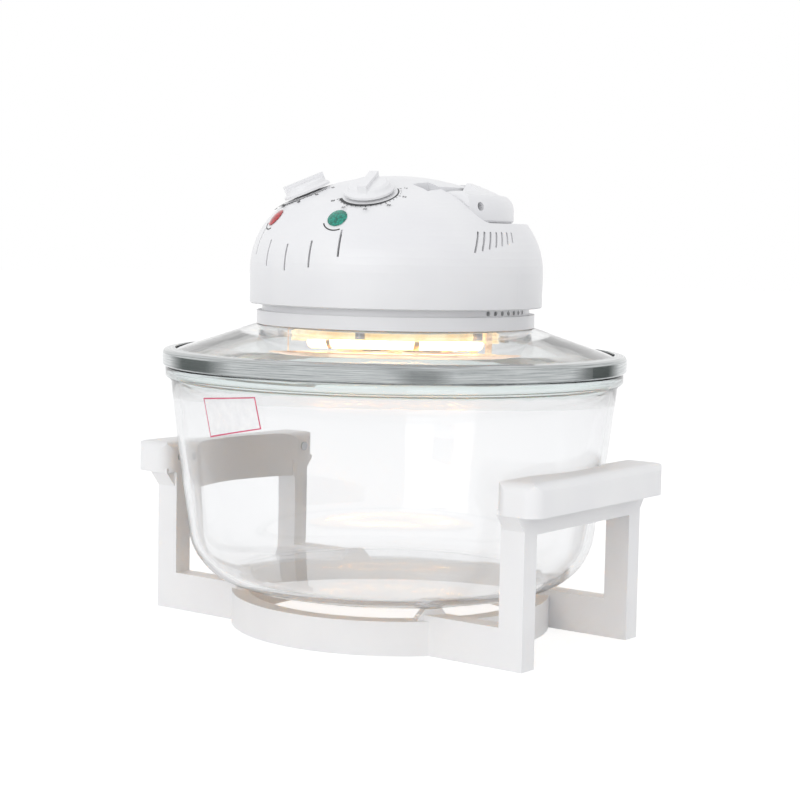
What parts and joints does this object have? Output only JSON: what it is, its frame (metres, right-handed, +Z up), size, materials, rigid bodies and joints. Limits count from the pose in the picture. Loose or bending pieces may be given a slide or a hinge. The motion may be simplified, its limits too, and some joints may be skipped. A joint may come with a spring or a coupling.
{
  "type": "halogen oven",
  "caption": "Tabletop oven: a clear glass bowl in a white stand with hand rails, under a lift-off glass lid whose white domed head holds a halogen heater, fans and dials.",
  "frame": {"origin": "centre of the footprint, on the table, on the bowl's axis", "axes": "+Z up the bowl's axis; the stand's hand rails are at +X and -X; -Y is the stand's front; the head is turned 9.5 degrees clockwise from above"},
  "size_m": [0.364, 0.34, 0.3316],
  "materials": {
    "white_abs": "glossy moulded ABS",
    "clear_glass": "clear pressed glass",
    "steel_band": "brushed and polished",
    "zinc_steel": "zinc plated",
    "polished_steel": "polished",
    "silicone": "matt moulded silicone",
    "red_lens": "clear tinted lens",
    "green_lens": "clear tinted lens",
    "phenolic": "moulded phenolic",
    "mica": "pressed mica",
    "quartz": "clear quartz tube",
    "hot_wire": "glowing tungsten wire",
    "ceramic": "steatite ceramic",
    "lamination": "stacked steel sheets",
    "copper_wire": "varnished winding",
    "nylon": "moulded nylon",
    "black_nylon": "moulded nylon",
    "aluminium_fan": "pressed sheet"
  },
  "bodies": {
    "stand": {"base_ring": "white_abs", "left_stand_handle": "white_abs", "right_stand_handle": "white_abs", "stand_screws": "zinc_steel"},
    "bowl": {"glass_bowl": "clear_glass"},
    "lid": {"lid_glass": "clear_glass", "lid_rim_band": "steel_band", "lid_seal": "silicone", "clamp_ring": "zinc_steel", "head_base": "white_abs", "head_cover": "white_abs", "cable_gland": "nylon", "power_lamp": "red_lens", "heat_lamp": "green_lens", "timer_body": "phenolic", "thermostat_body": "phenolic", "heat_shield": "zinc_steel", "mica_disc": "mica", "reflector": "polished_steel", "halogen_tube": "quartz", "lamp_filament": "hot_wire", "lamp_end_caps": "ceramic", "lamp_clips": "zinc_steel", "heater_guard": "polished_steel", "motor_stator": "lamination", "motor_coil": "copper_wire", "motor_bracket": "zinc_steel", "motor_screws": "zinc_steel", "terminal_block": "nylon", "safety_switch": "black_nylon", "clamp_screws": "zinc_steel", "cover_screws": "zinc_steel", "guard_screws": "zinc_steel", "pivot_pins": "zinc_steel", "plunger_spring": "zinc_steel"},
    "fan_rotor": {"motor_rotor": "lamination", "fan_shaft": "zinc_steel", "cooling_fan": "nylon", "convection_fan": "aluminium_fan", "fan_nut": "zinc_steel"},
    "timer_dial": {"timer_knob": "white_abs", "timer_shaft": "zinc_steel"},
    "thermostat_dial": {"thermostat_knob": "white_abs", "thermostat_shaft": "zinc_steel"},
    "handle": {"carry_handle": "white_abs"},
    "plunger": {"switch_plunger": "nylon"}
  },
  "joints": [
    {"name": "bowl_lift", "type": "slide", "parent": "stand", "child": "bowl", "axis": [0, 0, 1], "range_m": [0, 0.15]},
    {"name": "lid_lift", "type": "slide", "parent": "bowl", "child": "lid", "axis": [0, 0, 1], "range_m": [0, 0.12]},
    {"name": "handle_fold", "type": "hinge", "parent": "lid", "child": "handle", "pos_m": [0, 0, 0.308], "axis": [0.9863, -0.165, 0], "range_deg": [0, 90]},
    {"name": "timer_turn", "type": "hinge", "parent": "lid", "child": "timer_dial", "pos_m": [0.0228, -0.063, 0.31624], "axis": [-0.1341, 0.3706, -0.9191], "range_deg": [0, 300]},
    {"name": "thermostat_turn", "type": "hinge", "parent": "lid", "child": "thermostat_dial", "pos_m": [-0.04207, -0.05214, 0.31624], "axis": [0.2475, 0.3067, -0.9191], "range_deg": [0, 270]},
    {"name": "switch_travel", "type": "slide", "parent": "lid", "child": "plunger", "axis": [0, 0, 1], "range_m": [0, 0.003], "deforming": ["plunger_spring"]},
    {"name": "fan_spin", "type": "hinge", "parent": "lid", "child": "fan_rotor", "pos_m": [0, 0, 0.25], "axis": [0, 0, 1], "continuous": true}
  ],
  "couplings": [
    {"joint": "switch_travel", "follows": "handle_fold", "m_per_rad": 0.0019099}
  ]
}
